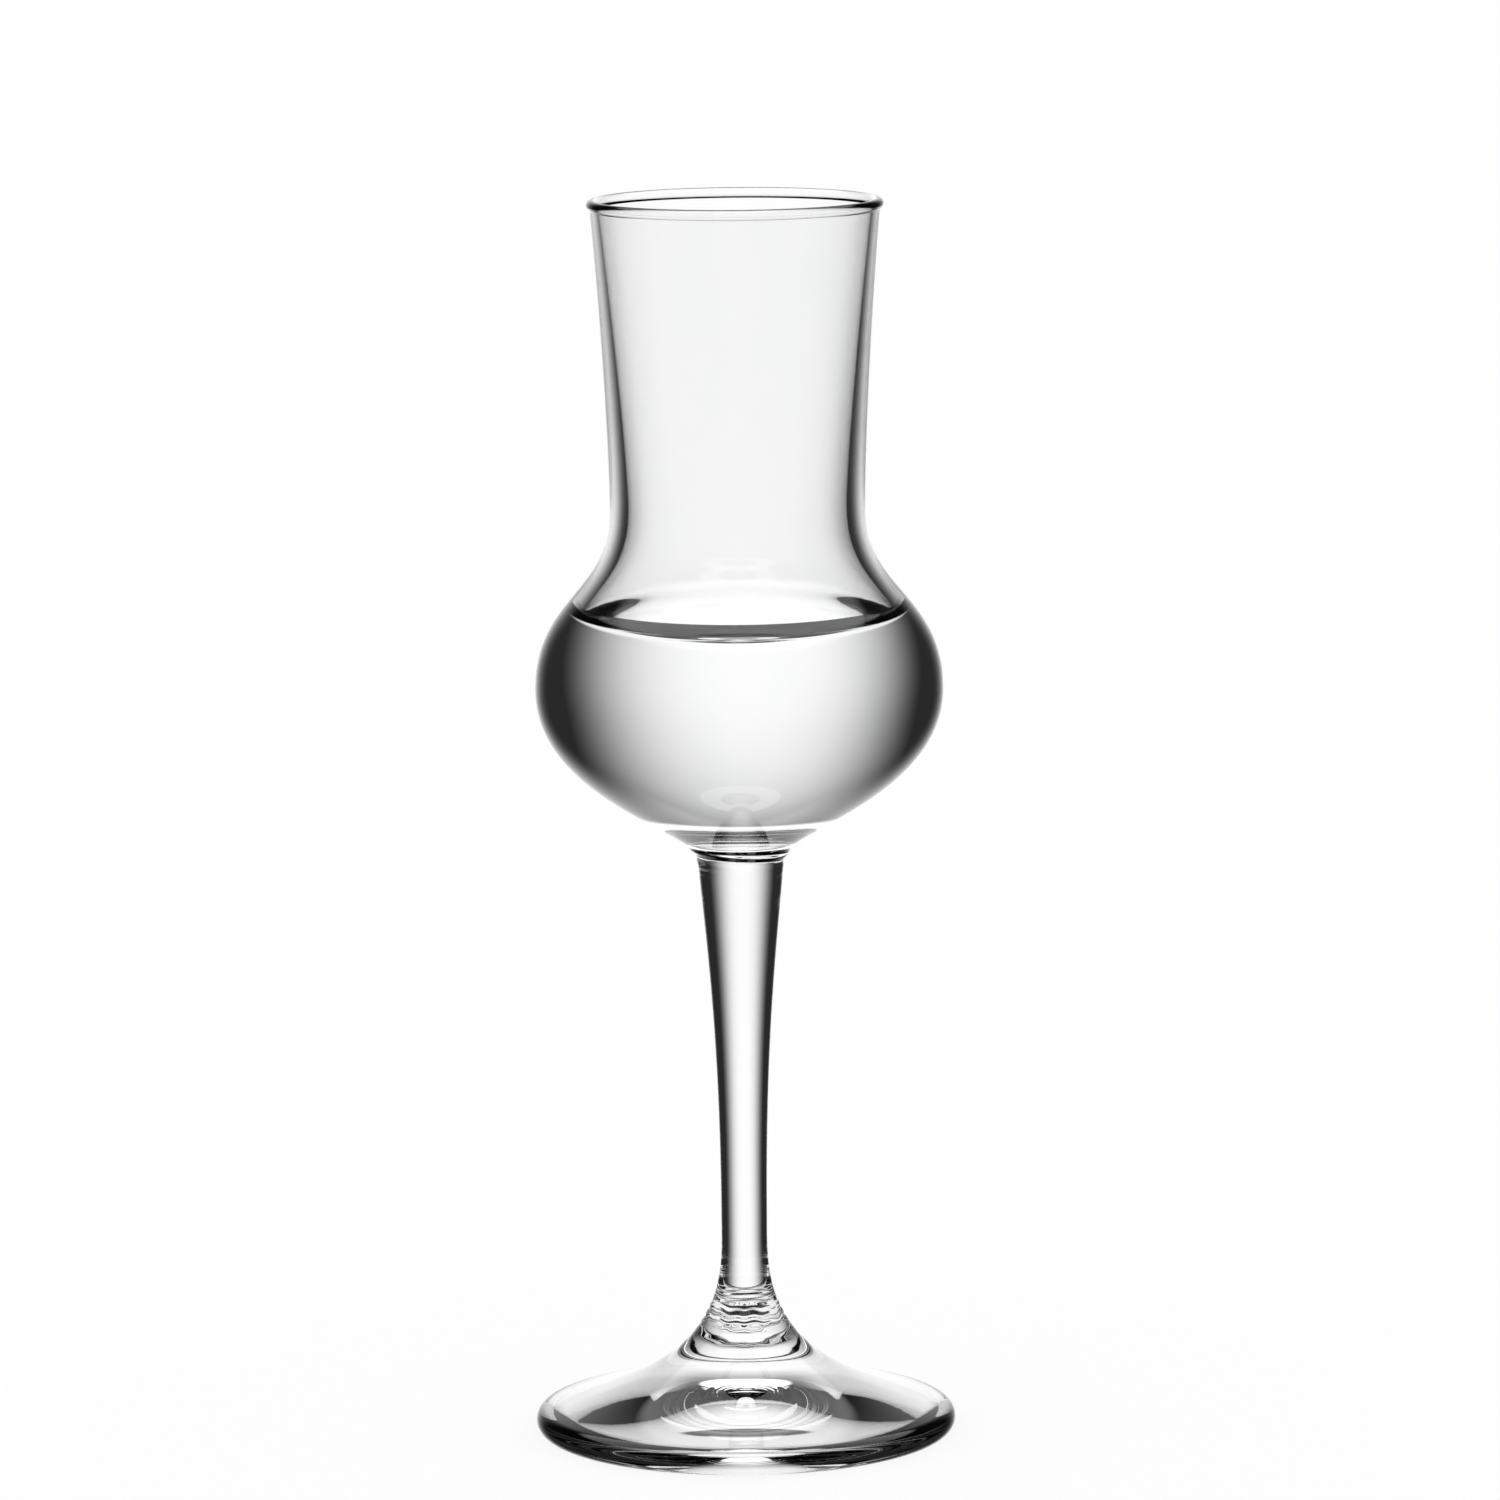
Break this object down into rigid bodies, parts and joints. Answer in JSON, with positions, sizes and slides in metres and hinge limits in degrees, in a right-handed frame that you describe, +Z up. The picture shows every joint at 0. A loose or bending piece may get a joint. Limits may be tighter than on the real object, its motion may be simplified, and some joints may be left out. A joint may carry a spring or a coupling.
{
  "type": "grappa glass",
  "caption": "Tulip-shaped spirits glass on a slender drawn stem and wide domed foot, with a round bowl, a flared chimney and clear drink in the bowl.",
  "frame": {"origin": "Middle of the foot, on the surface that the glass stands on.", "axes": "+Z up along the axis that the glass is turned about. X and Y lie in the table; the glass looks the same all round."},
  "size_m": [0.0564, 0.0564, 0.166],
  "materials": {
    "clear_glass": "clear, fire polished",
    "clear_drink": "clear liquid with a still surface"
  },
  "bodies": {
    "root": {"stemmed_glass": "clear_glass", "drink": "clear_drink"}
  },
  "joints": []
}
